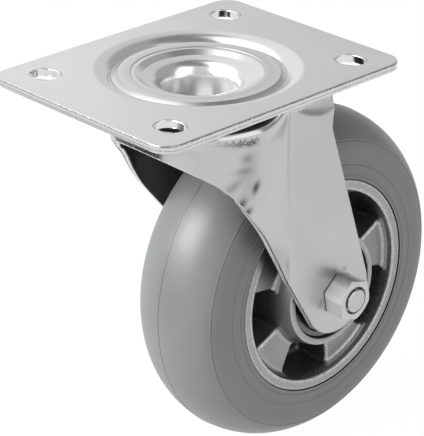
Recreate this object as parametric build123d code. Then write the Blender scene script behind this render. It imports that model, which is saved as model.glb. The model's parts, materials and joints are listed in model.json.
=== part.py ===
from build123d import *
import os
from math import cos, degrees, pi, radians, sin, sqrt, tan

# Swivel castor with a top plate and a solid rubber wheel on an aluminium centre.
# X runs along the wheel's axle, the wheel trails towards +Y, Z is up.
# The origin is on the swivel axis, level with the top face of the plate.
# All sizes are in millimetres and all angles in degrees.

# ---------------------------------------------------------------- top plate
plate_width = 110.0
plate_length = 140.0
plate_thickness = 3.5
plate_corner = 9.0
plate_edge_roll = 0.9
slot_spacing_x = 77.5
slot_spacing_y = 105.0
slot_width = 11.0
slot_travel = 2.5            # slot length beyond its width

# ---------------------------------------------------------------- swivel head
race_pitch = 32.0            # radius of the upper ball row
upper_ball = 8.0
lower_pitch = 25.5           # radius of the lower ball row
lower_ball = 6.0
ball_clearance = 0.3         # between a ball and its groove
race_bite = 0.4              # how far a ball sinks below the flat of its race
ball_spacing = 1.04          # pitch of neighbouring balls over their diameter
ridge_drop = 1.9             # pressed ring over the upper race, below the plate's face
ridge_half = 2.5
valley_drop = 3.4
valley_run = 2.6
press_run = 6.4
step_drop = 4.0
step_run = 5.0
funnel_fall = 1.6
funnel_round = 6.5
press_rounds = (0.9, 1.0, 0.8, 0.9, 1.0)  # corners of the pressed rings, from the outside in
press_margin = 1.0           # flat ring that belongs to the pressed centre
collar_bore = 16.0           # radius inside the hollow kingpin
collar_wall = 3.0
collar_flare = 3.4           # riveted end beyond the collar, under the lower race
flare_height = 2.8
collar_gap = 2.2             # between the collar and the fork's hole
lower_race_thickness = 3.0
lower_race_lip = 3.4
race_shoulder = 0.6          # between a ball row and the wall beside it
race_edge = 0.6              # rounded corners of the lower race
race_bend = 2.4              # its outer bend, where the sheet turns up
seal_width = 3.9

# ---------------------------------------------------------------- wheel
wheel_diameter = 160.0
wheel_width = 50.0
tread_radius = 31.0          # rounded running face, seen in section
shoulder_inset = 1.4         # shoulder inside the wheel's width
shoulder_round = 9.0
tyre_seat = 51.4             # radius where the rubber is bonded to the rim
anchor_depth = 1.8
anchor_width = 6.0
anchor_spacing = 22.0
rim_lip = 5.3                # thickness of the rim's outer ring at its face
rim_draft = 1.2
hub_overhang = 5.0           # hub beyond the tyre on each side
hub_wall = 3.2
hub_draft = 2.2
hub_waist = 20.0             # radius of the bore between the bearings
spoke_count = 5
spoke_recess = 4.5           # spokes below the face of the rim
spoke_angle = 33.0           # angle that one spoke spans at the rim
spoke_root_angle = 29.0
spoke_phase = 8.0            # first spoke above the +Y direction
web_thickness = 6.0
pocket_round = 3.0
pocket_draft = 2.0
pocket_margin = 0.3          # between a pocket and the foot of the hub or of the outer ring

# ---------------------------------------------------------------- wheel bearings
bearing_bore = 20.0
bearing_outside = 47.0
bearing_width = 14.0
bearing_inset = 1.5          # bearing below the end of the hub
bearing_ball = 7.6
bearing_ball_count = 8
inner_ring_wall = 3.6
outer_ring_wall = 3.4
ring_edge = 0.6
cage_width = 10.4
cage_wall = 2.0
cage_clearance = 0.15
shield_thickness = 0.6
shield_inset = 0.6
shield_gap = 0.4

# ---------------------------------------------------------------- fork and axle
wheel_to_plate = 35.0        # top of the tyre below the plate's face
trail = 54.5                 # axle behind the swivel axis
fork_thickness = 3.5
fork_side_gap = 0.5          # between the hub and each leg
head_overhang = 8.5          # round head beyond the legs' outer faces
head_bend = 5.0
head_wall = 5.4              # height of the head's bend and straight wall
neck_drop = 6.6
neck_inset = 2.7
flank_drop = 53.4            # the flanks stay round down to here, below the head's top
flank_inset = 1.6            # round flanks inside the head, at their lower end
leg_blend = 83.4             # below the head's top, where the legs are flat
ease_start = 12.0            # the round head turns in to the legs from here
flank_start = 2.0            # and the flanks under it from here
ease_end = 24.0
head_rear = 48.4
rear_scallop = 7.0
rear_corner = 6.0
leg_tip_radius = 19.6
front_slant = 30.7           # lower front edge of a leg, from the vertical
back_slant = 17.8            # back edge of a leg, from the vertical
shoulder_run = 45.7          # straight front edge above a leg's rounded tip
apron_slant = 33.7           # lower edge of the front apron, from the horizontal
apron_angle = 45.55          # the apron's lower corner seen from the axle, from the horizontal
apron_reach = 23.1           # and how far it lies beyond the tyre
notch_drop = 19.4            # neck at the back edge, below the head's top
notch_round = 8.0
apron_round = 40.0
leg_round = 110.0
axle_thread = 12.0
axle_hole_gap = 0.3
hex_across_flats = 18.0
hex_chamfer = 0.95           # end circle of a hexagon over its width across flats
hex_chamfer_angle = 30.0
thread_chamfer = 1.5         # at the end of the bolt
nut_height = 10.4
bolt_head_height = 7.5
bolt_proud = 1.6
hex_phase = 42.7             # a corner of the nut above the +Y direction
fit = 0.05                   # between pieces that are pressed or slid together
overcut = 1.0                # how far a cutting shape runs past what it cuts

# ---------------------------------------------------------------- derived sizes
wheel_radius = wheel_diameter / 2
axle_z = -(wheel_to_plate + wheel_radius)
hub_half = wheel_width / 2 + hub_overhang
leg_inside = hub_half + fork_side_gap
leg_outside = leg_inside + fork_thickness
head_radius = leg_outside + head_overhang

ridge_underside = -(ridge_drop + plate_thickness)
upper_ball_z = ridge_underside - upper_ball / 2 + race_bite
head_top = upper_ball_z - upper_ball / 2 + race_bite
head_underside = head_top - fork_thickness
lower_ball_z = head_underside - lower_ball / 2 + race_bite
lower_race_top = lower_ball_z - lower_ball / 2 + race_bite
lower_race_bottom = lower_race_top - lower_race_thickness
collar_outside = collar_bore + collar_wall
collar_end = lower_race_bottom - flare_height

ridge_outside = race_pitch + ridge_half
ridge_inside = race_pitch - ridge_half
valley_radius = ridge_outside + valley_run
press_radius = valley_radius + press_run
step_radius = ridge_inside - step_run

bearing_outer_face = hub_half - bearing_inset
bearing_inner_face = bearing_outer_face - bearing_width
bearing_middle = (bearing_outer_face + bearing_inner_face) / 2
bearing_seat = bearing_outside / 2
bearing_pitch = (bearing_bore + bearing_outside) / 4
bearing_groove = bearing_ball / 2 + ball_clearance
inner_ring_radius = bearing_bore / 2 + inner_ring_wall
outer_ring_radius = bearing_seat - outer_ring_wall
hub_radius = bearing_seat + hub_wall
rim_inside = tyre_seat - rim_lip
spoke_face = wheel_width / 2 - spoke_recess


# ---------------------------------------------------------------- helpers
def turned_z(line):
    """Turn a closed line about the swivel axis; it is drawn as radius against height."""
    return revolve(Plane.XZ * make_face(line), Axis.Z)


def turned_x(line):
    """Turn a closed line about the X axis; it is drawn as length against radius."""
    return revolve(make_face(line), Axis.X)


def sleeve(x_low, x_high, r_low, r_high):
    """A plain turned ring about the X axis."""
    corners = [(x_low, r_low), (x_high, r_low), (x_high, r_high), (x_low, r_high)]
    return turned_x(Polyline(*corners, close=True))


def both_sides(points):
    """Continue a list of points by their mirror images, in reverse order."""
    return points + [(-x, r) for x, r in reversed(points)]


def at_axle(shape):
    """Move a piece made about the X axis onto the wheel's axle."""
    return Pos(0, trail, axle_z) * shape


def swivel_groove(pitch, z, ball):
    """The ring that a ball row sweeps, with its running clearance."""
    return Pos(0, 0, z) * Torus(pitch, ball / 2 + ball_clearance)


def swivel_balls(pitch, z, ball):
    """A full row of separate balls about the swivel axis."""
    count = int(2 * pi * pitch / (ball * ball_spacing))
    step = 2 * pi / count
    return Compound(children=[
        Pos(pitch * cos(i * step), pitch * sin(i * step), z) * Sphere(ball / 2)
        for i in range(count)
    ])


# ---------------------------------------------------------------- swivel head pieces
def make_top_plate():
    """Flat plate with four slots; its pressed centre ends in the hollow, riveted kingpin."""
    joint_radius = press_radius + press_margin
    blank = extrude(RectangleRounded(plate_width, plate_length, plate_corner), -plate_thickness)
    blank = fillet(blank.edges().group_by(Axis.Z)[-1], plate_edge_roll)
    openings = Circle(joint_radius)
    for place in GridLocations(slot_spacing_x, slot_spacing_y, 2, 2):
        openings += place * SlotOverall(slot_width + slot_travel, slot_width)
    blank -= extrude(openings, -plate_thickness)

    upper = FilletPolyline(
        (joint_radius, 0),
        (press_radius, 0),
        (valley_radius, -valley_drop),
        (ridge_outside, -ridge_drop),
        (ridge_inside, -ridge_drop),
        (step_radius, -step_drop),
        (collar_bore, -step_drop - funnel_fall),
        (collar_bore, collar_end),
        radius=[*press_rounds, funnel_round],
    )
    lower = Polyline(
        (collar_bore, collar_end),
        (collar_outside + collar_flare, collar_end),
        (collar_outside + collar_flare, lower_race_bottom - fit),
        (collar_outside, lower_race_bottom - fit),
        (collar_outside, -step_drop - funnel_fall - plate_thickness),
        (step_radius, -step_drop - plate_thickness),
        (ridge_inside, ridge_underside),
        (ridge_outside, ridge_underside),
        (valley_radius, -valley_drop - plate_thickness),
        (joint_radius, -plate_thickness),
        (joint_radius, 0),
    )
    centre = turned_z(Curve([upper, lower])) - swivel_groove(race_pitch, upper_ball_z, upper_ball)
    return blank + centre


def make_swivel_seal():
    """Rubber dust ring that hangs from the plate around the upper balls."""
    inside = race_pitch + upper_ball / 2 + race_shoulder
    top = -valley_drop - plate_thickness - fit
    bottom = head_top + ball_clearance
    corners = [(inside, top), (inside + seal_width, top), (inside + seal_width, bottom), (inside, bottom)]
    return turned_z(Polyline(*corners, close=True))


def make_lower_race():
    """Turned-up race ring, held on the kingpin by its riveted end."""
    wall = lower_pitch + lower_ball / 2 + race_shoulder
    outside = wall + lower_race_thickness
    section = FilletPolyline(
        (collar_outside + fit, lower_race_top),
        (wall, lower_race_top),
        (wall, lower_race_top + lower_race_lip),
        (outside, lower_race_top + lower_race_lip),
        (outside, lower_race_bottom),
        (collar_outside + fit, lower_race_bottom),
        radius=[race_edge, race_edge, race_edge, race_bend],
    )
    closing = Line((collar_outside + fit, lower_race_bottom), (collar_outside + fit, lower_race_top))
    return turned_z(Curve([section, closing])) - swivel_groove(lower_pitch, lower_ball_z, lower_ball)


# ---------------------------------------------------------------- fork
def fork_plan(z, front, side, start, rear):
    """Plan of the fork at one height: round front, eased flanks, straight legs, open rear."""
    edge_x = sqrt(front ** 2 - start ** 2)
    round_front = ThreePointArc((-edge_x, start), (0, -front), (edge_x, start))
    right = Spline((edge_x, start), (side, ease_end), tangents=[(-start, edge_x), (0, 1)])
    left = Spline((-side, ease_end), (-edge_x, start), tangents=[(0, -1), (-start, -edge_x)])
    legs = Polyline((side, ease_end), (side, rear), (-side, rear), (-side, ease_end))
    return Pos(0, 0, z) * make_face(Curve([round_front, right, legs, left]))


def fork_hull(inset, top, bend, rear):
    """The fork's outer or inner form as a full block, from its head down past the axle."""
    side = leg_outside - inset
    front = head_radius - inset
    wall_z = head_top - head_wall
    foot = fork_plan(head_top - leg_blend, side, side, 0.0, rear)
    plans = [
        fork_plan(top, front, side, ease_start, rear),
        fork_plan(wall_z, front, side, ease_start, rear),
        fork_plan(wall_z - neck_drop, front - neck_inset, side, flank_start, rear),
        fork_plan(head_top - flank_drop, front - flank_inset, side, flank_start, rear),
        foot,
    ]
    head = loft(plans, ruled=True)
    rim = [edge for edge in head.edges().group_by(Axis.Z)[-1] if edge.center().Y < rear - overcut]
    head = fillet(rim, bend)
    reach = head_top - leg_blend - axle_z + 2 * leg_tip_radius
    return head + extrude(foot, -reach, dir=(0, 0, 1))


def along(start, angle, distance):
    """The point at a distance from start; angle is measured from +Y towards +Z."""
    return (start[0] + distance * cos(radians(angle)), start[1] + distance * sin(radians(angle)))


def crossing(a, angle_a, b, angle_b):
    """Where the line through a meets the line through b, each with its angle from +Y."""
    ca, sa = cos(radians(angle_a)), sin(radians(angle_a))
    cb, sb = cos(radians(angle_b)), sin(radians(angle_b))
    run = ((b[0] - a[0]) * sb - (b[1] - a[1]) * cb) / (ca * sb - sa * cb)
    return (a[0] + run * ca, a[1] + run * sa)


def fork_side_view():
    """Outline of the fork seen along the axle, as trail against height."""
    axle = (trail, axle_z)
    front_angle = 90 + front_slant
    back_angle = 90 + back_slant
    front_touch = along(axle, front_angle + 90, leg_tip_radius)
    back_touch = along(axle, back_angle - 90, leg_tip_radius)
    tip = crossing(front_touch, front_angle, back_touch, back_angle)
    shoulder = along(front_touch, front_angle, shoulder_run)
    apron = along(axle, 180 - apron_angle, wheel_radius + apron_reach)
    apron_end = along(apron, 180 - apron_slant, head_radius)
    notch = crossing(back_touch, back_angle, (0, head_top - notch_drop), 0)
    above = head_top + overcut
    edge = FilletPolyline(
        apron_end, apron, shoulder, tip, notch, (head_rear, above),
        radius=[apron_round, leg_round, leg_tip_radius, notch_round],
    )
    closing = Polyline((head_rear, above), (apron_end[0], above), apron_end)
    return make_face(Curve([edge, closing]))


def make_fork():
    """One pressed sheet: round head with two ball races, front apron and two legs."""
    rear = trail + 2 * leg_tip_radius
    shell = fork_hull(0, head_top, head_bend, rear)
    shell -= fork_hull(fork_thickness, head_underside, head_bend - fork_thickness, rear + overcut)
    shell &= extrude(Plane.YZ * fork_side_view(), head_radius + overcut, both=True)

    chord = leg_inside - rear_corner
    scallop = (chord ** 2 + rear_scallop ** 2) / (2 * rear_scallop)
    head_cut = 2 * (fork_thickness + overcut)
    shell -= Pos(0, head_rear - rear_scallop + scallop, head_top) * Cylinder(scallop, head_cut)

    head_hole = Pos(0, 0, head_top) * Cylinder(collar_outside + collar_gap, head_cut)
    leg_cut = 2 * (leg_outside + overcut)
    axle_hole = at_axle(Rot(0, 90, 0) * Cylinder(axle_thread / 2 + axle_hole_gap, leg_cut))
    upper_groove = swivel_groove(race_pitch, upper_ball_z, upper_ball)
    lower_groove = swivel_groove(lower_pitch, lower_ball_z, lower_ball)
    return shell - head_hole - axle_hole - upper_groove - lower_groove


# ---------------------------------------------------------------- axle
def hexagon_bar(length):
    """Hexagon about X from 0 to length, with both ends turned to a chamfer."""
    corner = hex_across_flats / 2 / cos(pi / 6)
    end = hex_across_flats / 2 * hex_chamfer
    run = (corner - end) * tan(radians(hex_chamfer_angle))
    turned = [(0, 0), (0, end), (run, corner), (length - run, corner), (length, end), (length, 0)]
    bar = extrude(Plane.YZ * Rot(0, 0, hex_phase) * RegularPolygon(corner, 6), length)
    return bar & turned_x(Polyline(*turned, close=True))


def make_axle_bolt():
    """Hexagon bolt from leg to leg, with its head on the -X side."""
    tip = leg_outside + nut_height + bolt_proud
    radius = axle_thread / 2
    point = radius - thread_chamfer
    chamfer_start = tip - thread_chamfer
    shank = [(-leg_outside, 0), (-leg_outside, radius), (chamfer_start, radius), (tip, point), (tip, 0)]
    head = Pos(-leg_outside - bolt_head_height, 0, 0) * hexagon_bar(bolt_head_height)
    return at_axle(head + turned_x(Polyline(*shank, close=True)))


def make_axle_nut():
    """Hexagon nut on the +X leg."""
    bore = sleeve(-overcut, nut_height + overcut, 0, axle_thread / 2 + fit)
    return at_axle(Pos(leg_outside, 0, 0) * (hexagon_bar(nut_height) - bore))


def make_axle_tube():
    """Tube that the bolt clamps between the legs; the bearings sit on it."""
    end = leg_inside - fit
    return at_axle(sleeve(-end, end, axle_thread / 2 + axle_hole_gap, bearing_bore / 2 - fit))


def make_centre_spacer():
    """Sleeve between the two inner rings."""
    end = bearing_inner_face - fit
    return at_axle(sleeve(-end, end, bearing_bore / 2 + fit, inner_ring_radius - ring_edge))


def make_side_spacer(side):
    """Collar between an inner ring and a leg."""
    inside, outside = bearing_bore / 2 + fit, inner_ring_radius - ring_edge
    ring = sleeve(bearing_outer_face + fit, leg_inside - fit, inside, outside)
    return at_axle(ring if side > 0 else mirror(ring, Plane.YZ))


# ---------------------------------------------------------------- wheel bearings
def bearing_piece(shape, side):
    """Place a bearing piece made about the X axis at x = 0 into its side of the hub."""
    return at_axle(Pos(side * bearing_middle, 0, 0) * (shape if side > 0 else mirror(shape, Plane.YZ)))


def ball_track():
    """The ring that a wheel bearing's balls sweep, with their running clearance."""
    return Rot(0, 90, 0) * Torus(bearing_pitch, bearing_groove)


def around_axle(shape):
    """Copies of a shape that stands above the X axis, one for each ball of a bearing."""
    return [Rot(i * 360 / bearing_ball_count, 0, 0) * shape for i in range(bearing_ball_count)]


def bearing_balls():
    """The spheres of one wheel bearing, in a circle about the X axis."""
    return around_axle(Pos(0, 0, bearing_pitch) * Sphere(bearing_ball / 2))


def make_inner_ring():
    half = bearing_width / 2
    return sleeve(-half, half, bearing_bore / 2, inner_ring_radius) - ball_track()


def make_outer_ring():
    half = bearing_width / 2
    return sleeve(-half, half, outer_ring_radius, bearing_seat) - ball_track()


def make_cage():
    """Moulded cage: a ring with one round pocket for each ball."""
    half = cage_width / 2
    ring = sleeve(-half, half, bearing_pitch - cage_wall / 2, bearing_pitch + cage_wall / 2)
    window = Pos(0, 0, bearing_pitch) * Cylinder(bearing_ball / 2 + cage_clearance, 2 * cage_wall)
    return ring - around_axle(window)


def make_shields():
    """The two sheet shields that are snapped into one outer ring."""
    face = bearing_width / 2 - shield_inset
    low = inner_ring_radius + shield_gap
    high = outer_ring_radius - fit
    shield = sleeve(face - shield_thickness, face, low, high)
    return [shield, mirror(shield, Plane.YZ)]


# ---------------------------------------------------------------- wheel
def anchor_steps(radius, gap):
    """Right half of the line between rim and rubber, outside to middle, with its key groove."""
    low = (anchor_spacing - anchor_width) / 2 + gap
    high = (anchor_spacing + anchor_width) / 2 - gap
    depth = radius - anchor_depth
    return [(wheel_width / 2, radius), (high, radius), (high, depth), (low, depth), (low, radius)]


def make_tyre():
    """Solid rubber ring with a rounded running face, bonded to the rim."""
    half = wheel_width / 2
    shoulder_x = half - shoulder_inset
    shoulder_r = wheel_radius - tread_radius + sqrt(tread_radius ** 2 - shoulder_x ** 2)
    tread = ThreePointArc((-shoulder_x, shoulder_r), (0, wheel_radius), (shoulder_x, shoulder_r))
    seat = both_sides(anchor_steps(tyre_seat + fit, fit))
    sides = Polyline((shoulder_x, shoulder_r), *seat, (-shoulder_x, shoulder_r))
    section = make_face(Curve([tread, sides]))
    corners = [v for v in section.vertices() if abs(v.Y - shoulder_r) < fit]
    return at_axle(revolve(fillet(corners, shoulder_round), Axis.X))


def pocket_plan(inset):
    """Outline of a cored pocket between two spokes, centred on the +X direction."""
    low = hub_radius + hub_draft + pocket_margin + inset
    high = rim_inside - rim_draft / 2 - inset
    rim_half = (360 / spoke_count - spoke_angle) / 2 - degrees(inset / high)
    root_half = (360 / spoke_count - spoke_root_angle) / 2 - degrees(inset / low)
    corners = [along((0, 0), angle, radius) for angle, radius in
               ((-root_half, low), (-rim_half, high), (rim_half, high), (root_half, low))]
    section = make_face(Curve([
        Line(corners[0], corners[1]),
        ThreePointArc(corners[1], (high, 0), corners[2]),
        Line(corners[2], corners[3]),
        ThreePointArc(corners[3], (low, 0), corners[0]),
    ]))
    return fillet(section.vertices(), pocket_round)


def make_wheel_rim():
    """Die-cast centre: hub with bearing seats, five spokes on a web, and the outer ring."""
    half = wheel_width / 2
    inside = [
        (bearing_inner_face, hub_waist),
        (bearing_inner_face, bearing_seat + fit),
        (hub_half, bearing_seat + fit),
        (hub_half, hub_radius),
        (spoke_face, hub_radius + hub_draft),
        (spoke_face, rim_inside - rim_draft),
        (half, rim_inside),
    ]
    body = turned_x(Polyline(*both_sides(inside + anchor_steps(tyre_seat, 0)), close=True))
    depth = spoke_face - web_thickness / 2
    mouth = Plane.YZ.offset(spoke_face) * pocket_plan(0)
    floor = Plane.YZ.offset(web_thickness / 2) * pocket_plan(depth * tan(radians(pocket_draft)))
    pocket = loft([mouth, floor], ruled=True)
    gap_phase = spoke_phase + 180 / spoke_count
    for i in range(spoke_count):
        turn = Rot(gap_phase + i * 360 / spoke_count, 0, 0)
        body -= turn * pocket
        body -= turn * mirror(pocket, Plane.YZ)
    return at_axle(body)


# ---------------------------------------------------------------- the castor
nodes = {
    "top_plate": make_top_plate(),
    "swivel_seal": make_swivel_seal(),
    "lower_race": make_lower_race(),
    "upper_swivel_balls": swivel_balls(race_pitch, upper_ball_z, upper_ball),
    "lower_swivel_balls": swivel_balls(lower_pitch, lower_ball_z, lower_ball),
    "fork": make_fork(),
    "axle_bolt": make_axle_bolt(),
    "axle_nut": make_axle_nut(),
    "axle_tube": make_axle_tube(),
    "centre_spacer": make_centre_spacer(),
    "wheel_rim": make_wheel_rim(),
    "tyre": make_tyre(),
}
for name, side in (("right", 1), ("left", -1)):
    nodes["side_spacer_" + name] = make_side_spacer(side)
    nodes["bearing_inner_" + name] = bearing_piece(make_inner_ring(), side)
    nodes["bearing_outer_" + name] = bearing_piece(make_outer_ring(), side)
    nodes["bearing_cage_" + name] = bearing_piece(make_cage(), side)
    nodes["bearing_balls_" + name] = Compound(children=[
        bearing_piece(ball, side) for ball in bearing_balls()
    ])
    nodes["bearing_shields_" + name] = Compound(children=[
        bearing_piece(shield, side) for shield in make_shields()
    ])

os.makedirs("parts", exist_ok=True)
for name, shape in nodes.items():
    export_step(shape, "parts/" + name + ".step")
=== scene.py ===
import json
from math import acos, cos, pi, radians, sin, tan

import bmesh
import bpy
import numpy as np
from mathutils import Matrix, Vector
from mathutils.geometry import delaunay_2d_cdt


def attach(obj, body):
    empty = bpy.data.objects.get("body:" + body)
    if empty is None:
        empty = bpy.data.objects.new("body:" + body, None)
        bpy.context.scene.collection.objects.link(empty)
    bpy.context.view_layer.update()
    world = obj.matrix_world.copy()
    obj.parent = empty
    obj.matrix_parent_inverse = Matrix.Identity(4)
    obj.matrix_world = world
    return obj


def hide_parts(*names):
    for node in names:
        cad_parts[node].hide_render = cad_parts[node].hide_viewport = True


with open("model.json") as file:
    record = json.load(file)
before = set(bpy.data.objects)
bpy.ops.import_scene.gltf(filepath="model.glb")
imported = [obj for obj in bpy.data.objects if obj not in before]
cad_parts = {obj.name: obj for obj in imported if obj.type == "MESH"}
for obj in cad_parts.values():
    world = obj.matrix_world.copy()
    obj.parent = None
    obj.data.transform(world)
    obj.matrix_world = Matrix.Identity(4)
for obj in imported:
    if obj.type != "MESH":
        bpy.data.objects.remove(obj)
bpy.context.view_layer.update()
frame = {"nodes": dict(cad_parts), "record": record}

# Swivel castor: bright zinc plated pressings, a grey rubber tyre on a die-cast five-spoked centre.
# Lengths are in millimetres until a mesh is made. X runs along the axle, the wheel trails to +Y.

MM = 0.001

# ---- sizes
PLATE_WIDTH, PLATE_LENGTH, PLATE_THICKNESS, PLATE_CORNER = 110.0, 140.0, 3.5, 9.0
PLATE_ROLL, ROLL_LINE = 0.6, -0.45  # rounded upper edge that the blanking tool leaves; marks under it
TEAR_LINE = -2.2  # the blanked edge is smooth above this height and torn below
SLOT_X, SLOT_Y, SLOT_WIDTH, SLOT_TRAVEL = 77.5, 105.0, 11.0, 2.5
KINGPIN_BORE, KINGPIN_END = 16.0, -27.1
FOLDS = (37.6, 34.9, 29.5)  # radii at which the sheet was folded sharply; painted shade lies along them on top
PRESSED_RADIUS = 50.0  # the turned centre of the plate ends here, in the flat
UNDERSIDE_SHADE_RADIUS = 53.5  # and the painted shade round the races ends here, on the underside

AXLE_Y, AXLE_Z = 54.5, -115.0
SHEET = 3.5
HEAD_TOP, HEAD_RADIUS, HEAD_BEND = -12.6, 42.5, 5.0
HEAD_REAR, SCALLOP_DEPTH, SCALLOP_CORNER = 49.8, 7.0, 6.0
HEAD_HOLE = 21.2
WALL_FOOT, NECK_FOOT, NECK_INSET = -18.0, -24.6, 2.7
FLANK_FOOT, FLANK_SWELL = -66.0, 1.1  # the round flanks widen again on the way down to here
LEG_OUTSIDE = 34.0
CREASE_HIGH, CREASE_LOW = 20.8, 23.4  # where flank and flat leg meet, at the neck and lower down
HEAD_SLOPE, NECK_SLOPE, FLANK_SLOPE = 0.57, 0.27, 0.40  # how fast the flank runs in to the flat leg
RIDGE_SOFT, CREASE_SOFT = 1.5, 0.5  # rounding of the ridge and of the crease
HEAD_SOFT = 4.0  # both are this much softer next to the head
FLANK_FADE, FLANK_GONE = -62.0, -112.0  # the flank dies away into the leg between these heights
LENS_REAR, LENS_LOW, LENS_HIGH, LENS_FRONT = 41.5, -23.4, -13.6, 20.0
LENS_LEAN, LENS_REACH = 0.6, 5.5  # above its crease the leg leans in by this, less and less
FRONT_TURN, FRONT_RUN = -12.0, 50.6  # the round front ends at this y; its way round
TIP_RADIUS = 19.5
FRONT_SLANT, FRONT_AWAY = 30.7, 19.9  # front edge of a leg: from the vertical, and off the axle
BACK_SLANT, BACK_AWAY = 17.8, 19.0
SHOULDER = (14.0, -85.9)  # corners of the lower edge as (y, z)
APRON_CORNER, APRON_SLANT = (-17.7, -41.4), 33.7
APRON_ROUND, SHOULDER_CURVE, NOTCH_ROUND = 40.0, 110.0, 8.0
NOTCH_Z = -32.0

WHEEL_RADIUS, WHEEL_HALF, TREAD_RADIUS = 80.0, 25.0, 31.0
TYRE_SEAT = 51.4
SHOULDER_INSET, SHOULDER_ROUND = 1.4, 9.0
# Fine rings of the side wall: radius and height, grooves below zero
WALL_RINGS = ((69.6, 0.14), (69.0, -0.16), (58.0, -0.16), (57.4, 0.16), (53.6, 0.14), (53.0, -0.18))
RIM_INSIDE, DRUM_FOOT, DRUM_FLOOR = 46.1, 44.9, 44.3
HUB_HALF, HUB_RADIUS, HUB_FOOT, HUB_FLOOR = 30.0, 26.7, 28.9, 29.8
BEARING_SEAT, BEARING_SHOULDER, HUB_WAIST = 23.55, 14.5, 20.0
SPOKE_FACE, WEB_FACE, SPOKES, SPOKE_PHASE = 20.5, 3.0, 5, 8.0
SPOKE_ANGLE, SPOKE_ROOT_ANGLE = 33.0, 29.0

ACROSS_FLATS, NUT_HEIGHT, BOLT_HEAD, BOLT_PROUD, THREAD_RADIUS = 18.0, 10.4, 7.5, 0.9, 6.0
THREAD_ROOT, THREAD_PITCH = 5.1, 1.75
HEX_PHASE = 10.4  # how far the hexagons were turned when they were tightened
FACE_RING, CONE_ANGLE = 0.985, 26.0  # the free end's ring over the flats, and the cone that cuts the corners
BEARING_OUTSIDE, BEARING_BORE, BEARING_WIDTH = 23.5, 10.0, 14.0  # radii
OUTER_LAND, INNER_LAND = 20.1, 13.6  # radii of the rings where they face each other


# ---- lines
def rounded(corners, radii, closed=False, steps=8, hold=0.12):
    """Line through the corners, each replaced by an arc of its own radius.

    An arc touches its two runs at r * tan(turn / 2) from the corner. One more point lies a little
    outside each end of an arc, so that the straight runs shade flat."""
    corners = np.asarray(corners, float)
    count = len(corners)
    line = []
    for i, radius in enumerate(radii):
        corner = corners[i]
        if radius <= 0 or (not closed and i in (0, count - 1)):
            line.append(corner[None])
            continue
        back, ahead = corners[i - 1] - corner, corners[(i + 1) % count] - corner
        back, ahead = back / np.linalg.norm(back), ahead / np.linalg.norm(ahead)
        half_turn = (pi - acos(np.clip(back @ ahead, -1, 1))) / 2
        if half_turn < 1e-3:
            line.append(corner[None])
            continue
        reach = radius * tan(half_turn)
        centre = corner + (back + ahead) / np.linalg.norm(back + ahead) * radius / cos(half_turn)
        first = corner + back * reach - centre
        last = corner + ahead * reach - centre
        a = np.linspace(0, 1, steps + 1)[:, None] * 2 * half_turn
        arc = centre + (np.sin(2 * half_turn - a) * first + np.sin(a) * last) / sin(2 * half_turn)
        line.append(np.vstack([corner + back * (reach + hold), arc, corner + ahead * (reach + hold)]))
    return np.vstack(line)


def bell(v, middle, half, power=2):
    """exp(-((v - middle) / half) ** power): 1 in the middle, and gone about twice the half width away."""
    return np.exp(-((v - middle) / half) ** power)


def resampled(line, count):
    """The same line as count points at equal distances along it."""
    run = np.concatenate([[0], np.cumsum(np.linalg.norm(np.diff(line, axis=0), axis=1))])
    at = np.linspace(0, run[-1], count)
    return np.stack([np.interp(at, run, line[:, k]) for k in range(line.shape[1])], axis=1)


def outward(loop):
    """Unit normals of a closed anticlockwise loop, pointing away from its inside."""
    ahead = np.roll(loop, -1, axis=0) - np.roll(loop, 1, axis=0)
    normal = np.stack([ahead[:, 1], -ahead[:, 0]], axis=1)
    return normal / np.linalg.norm(normal, axis=1)[:, None]


# ---- surfaces
def about_axle(x, r, a):
    """Points at length x, radius r and angle a about the axle: (x, axle_y + r cos a, axle_z + r sin a)."""
    return np.stack([x + 0 * a, AXLE_Y + r * np.cos(a), AXLE_Z + r * np.sin(a)], axis=2)


def turned_z(profile, sectors=256):
    """Profile of (radius, height) turned about Z: (r cos a, r sin a, h)."""
    a = np.linspace(0, 2 * pi, sectors, endpoint=False)
    r, h = profile[:, 0:1], profile[:, 1:2]
    return np.stack([r * np.cos(a), r * np.sin(a), h + 0 * a], axis=2)


def turned_x(profile, sectors=256):
    """Profile of (length, radius) turned about the axle."""
    return about_axle(profile[:, 0:1], profile[:, 1:2], np.linspace(0, 2 * pi, sectors, endpoint=False))


def carried(profile, loop):
    """Profile of (inset, height) carried round a closed loop in the XY plane: loop - normal * inset."""
    normal = outward(loop)
    inset, height = profile[:, 0, None, None], profile[:, 1, None]
    flat = loop[None] - normal[None] * inset
    return np.concatenate([flat, np.broadcast_to(height, flat.shape[:2])[..., None]], axis=2)


def quads(rows, columns, close_rows, close_columns):
    """Corner numbers of a grid's quads; a closed side joins its last line to its first."""
    index = np.arange(rows * columns).reshape(rows, columns)
    if close_rows:
        index = np.vstack([index, index[:1]])
    if close_columns:
        index = np.hstack([index, index[:, :1]])
    corners = (index[:-1, :-1], index[1:, :-1], index[1:, 1:], index[:-1, 1:])
    return np.stack(corners, axis=2).reshape(-1, 4)


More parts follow.
